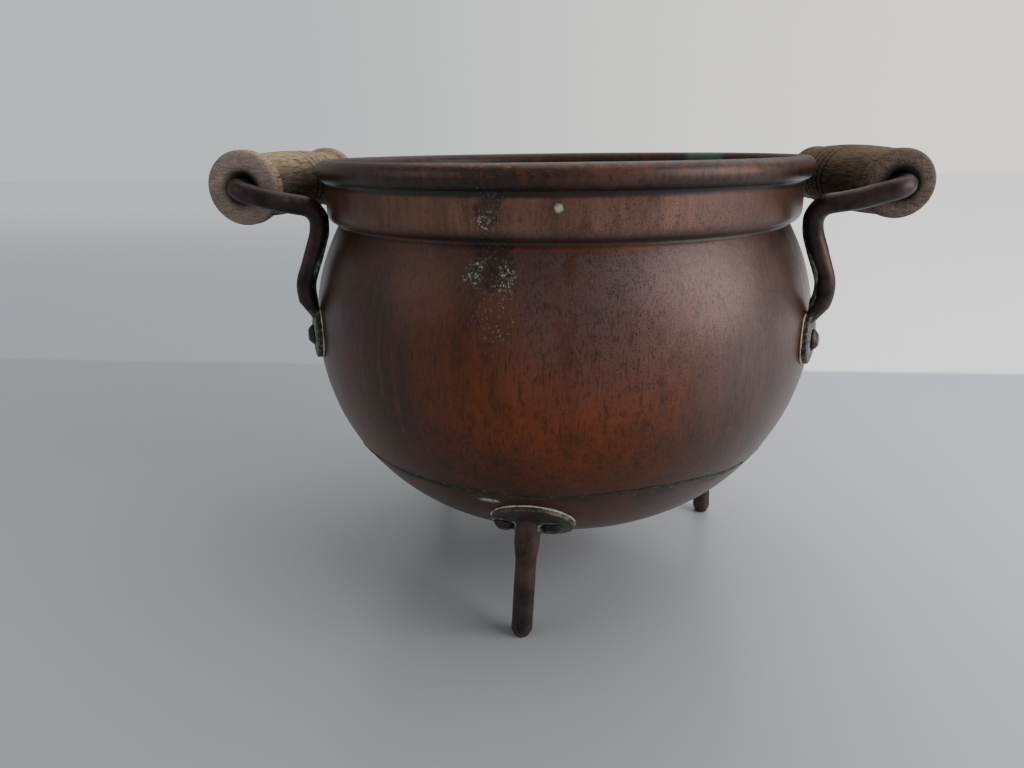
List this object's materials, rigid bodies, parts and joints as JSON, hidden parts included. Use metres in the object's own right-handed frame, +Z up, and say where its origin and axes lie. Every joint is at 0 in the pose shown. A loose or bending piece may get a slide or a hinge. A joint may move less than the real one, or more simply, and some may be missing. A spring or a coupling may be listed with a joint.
{
  "type": "footed copper pot",
  "caption": "Round-bellied copper pot on riveted legs, with a wired rim and bail handles whose turned wood grips spin on their rods.",
  "frame": {"origin": "on the pot's axis at the height of the table the legs stand on", "axes": "+Z up along the pot's axis, +X towards the right handle, -Y towards the front, near the front leg"},
  "size_m": [0.2003, 0.16, 0.1398],
  "materials": {
    "bowl_copper": "dark brown patinated copper sheet",
    "pan_copper": "dark brown patinated copper sheet",
    "seam_braze": "dull green-black braze line",
    "handle_rod": "forged rod, dark brown, verdigris at the feet",
    "leg_metal": "forged rod, dark brown, verdigris at the plates",
    "rivet_metal": "hammered copper rivet, dark brown",
    "iron_wire": "plain iron wire",
    "left_wood": "weathered turned wood, dry",
    "right_wood": "weathered turned wood, dry"
  },
  "bodies": {
    "pot": {"bowl_shell": "bowl_copper", "rim_wire": "iron_wire", "bottom_pan": "pan_copper", "seam_braze": "seam_braze", "left_handle_rod": "handle_rod", "right_handle_rod": "handle_rod", "left_front_rivet": "rivet_metal", "left_rear_rivet": "rivet_metal", "right_front_rivet": "rivet_metal", "right_rear_rivet": "rivet_metal", "front_leg": "leg_metal", "right_leg": "leg_metal", "left_leg": "leg_metal", "front_leg_rivet_a": "rivet_metal", "front_leg_rivet_b": "rivet_metal", "right_leg_rivet_a": "rivet_metal", "right_leg_rivet_b": "rivet_metal", "left_leg_rivet_a": "rivet_metal", "left_leg_rivet_b": "rivet_metal"},
    "left_grip_body": {"left_grip": "left_wood"},
    "right_grip_body": {"right_grip": "right_wood"}
  },
  "joints": [
    {"name": "left_grip_spin", "type": "hinge", "parent": "pot", "child": "left_grip_body", "pos_m": [-0.0894, 0, 0.1293], "axis": [0, 1, 0], "continuous": true},
    {"name": "right_grip_spin", "type": "hinge", "parent": "pot", "child": "right_grip_body", "pos_m": [0.0906, 0, 0.1293], "axis": [0, 1, 0], "continuous": true}
  ]
}
